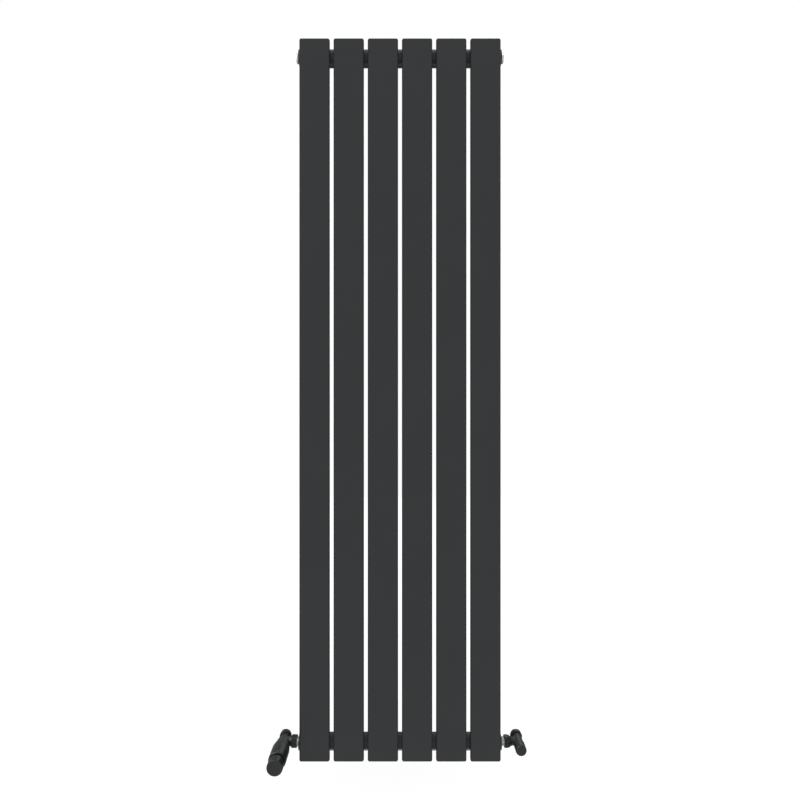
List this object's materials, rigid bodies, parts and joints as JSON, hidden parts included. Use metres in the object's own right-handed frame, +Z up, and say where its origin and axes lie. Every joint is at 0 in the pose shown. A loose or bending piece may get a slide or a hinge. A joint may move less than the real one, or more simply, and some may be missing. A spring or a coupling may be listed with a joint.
{
  "type": "radiator",
  "caption": "Tall vertical radiator of flat anthracite panels on two header tubes, with a corner thermostatic valve, a lockshield valve, plugs and wall brackets.",
  "frame": {"origin": "on the wall's face, midway between the four brackets and at the panels' mid-height", "axes": "+Z up along the panels, +Y into the wall, so the front faces -Y; +X from the thermostatic valve to the lockshield valve"},
  "size_m": [0.5615, 0.1392, 1.6],
  "materials": {
    "panel_coat": "satin powder coat, anthracite",
    "valve_coat": "satin lacquer, anthracite",
    "nickel": "nickel plate",
    "brass": "machined brass",
    "steel": "turned steel",
    "zinc": "zinc plate",
    "black_rubber": "matt rubber",
    "grey_plastic": "matt moulded plastic"
  },
  "bodies": {
    "radiator": {"panel_1": "panel_coat", "panel_2": "panel_coat", "panel_3": "panel_coat", "panel_4": "panel_coat", "panel_5": "panel_coat", "panel_6": "panel_coat", "header_top": "panel_coat", "header_bottom": "panel_coat", "bush_top_left": "panel_coat", "bracket_top_left": "zinc", "bracket_top_left_saddle": "grey_plastic", "bracket_top_left_screw_1": "steel", "bracket_top_left_screw_2": "steel", "bush_top_right": "panel_coat", "bracket_top_right": "zinc", "bracket_top_right_saddle": "grey_plastic", "bracket_top_right_screw_1": "steel", "bracket_top_right_screw_2": "steel", "bush_bottom_left": "panel_coat", "bracket_bottom_left": "zinc", "bracket_bottom_left_saddle": "grey_plastic", "bracket_bottom_left_screw_1": "steel", "bracket_bottom_left_screw_2": "steel", "bush_bottom_right": "panel_coat", "bracket_bottom_right": "zinc", "bracket_bottom_right_saddle": "grey_plastic", "bracket_bottom_right_screw_1": "steel", "bracket_bottom_right_screw_2": "steel", "flow_diverter": "grey_plastic", "plug_left": "nickel", "plug_left_o_ring": "black_rubber", "vent_plug": "nickel", "vent_o_ring": "black_rubber", "trv_tail": "nickel", "trv_union_nut": "valve_coat", "trv_body": "valve_coat", "trv_compression_nut": "valve_coat", "trv_olive": "brass", "trv_insert": "brass", "trv_spring": "steel", "trv_ring_nut": "nickel", "trv_sleeve": "valve_coat", "lock_tail": "nickel", "lock_union_nut": "valve_coat", "lock_body": "valve_coat", "lock_compression_nut": "valve_coat", "lock_olive": "brass", "lock_gland": "brass"},
    "trv_knob": {"trv_knob": "valve_coat"},
    "trv_capsule": {"trv_sensor_capsule": "zinc"},
    "trv_pin": {"trv_pin": "steel"},
    "lock_cap": {"lock_cap": "valve_coat"},
    "lock_spindle": {"lock_spindle": "brass"},
    "lock_disc": {"lock_disc": "brass"},
    "bleed_screw": {"bleed_screw": "brass"}
  },
  "joints": [
    {"name": "trv_knob_turn", "type": "hinge", "parent": "radiator", "child": "trv_knob", "pos_m": [-0.2627, -0.12, -0.7708], "axis": [0, -1, 0], "range_deg": [-150, 150]},
    {"name": "trv_capsule_shift", "type": "slide", "parent": "radiator", "child": "trv_capsule", "axis": [0, -1, 0], "range_m": [-0.0013, 0.0013]},
    {"name": "trv_pin_lift", "type": "slide", "parent": "radiator", "child": "trv_pin", "axis": [0, -1, 0], "range_m": [-0.0013, 0.0013], "deforming": ["trv_spring"]},
    {"name": "lock_cap_pull", "type": "slide", "parent": "radiator", "child": "lock_cap", "axis": [0, -1, 0], "range_m": [0, 0.03]},
    {"name": "lock_spindle_turn", "type": "hinge", "parent": "radiator", "child": "lock_spindle", "pos_m": [0.2665, -0.06, -0.7708], "axis": [0, -1, 0], "range_deg": [-720, 720]},
    {"name": "lock_disc_travel", "type": "slide", "parent": "radiator", "child": "lock_disc", "axis": [0, -1, 0], "range_m": [-0.0016, 0.0016]},
    {"name": "bleed_screw_turn", "type": "hinge", "parent": "radiator", "child": "bleed_screw", "pos_m": [0.23, -0.0445, 0.7708], "axis": [1, 0, 0], "range_deg": [0, 540]}
  ],
  "couplings": [
    {"joint": "trv_capsule_shift", "follows": "trv_knob_turn", "m_per_rad": 0.00048},
    {"joint": "trv_pin_lift", "follows": "trv_knob_turn", "m_per_rad": 0.00048},
    {"joint": "lock_spindle_turn", "follows": "lock_disc_travel", "rad_per_m": 7854}
  ]
}
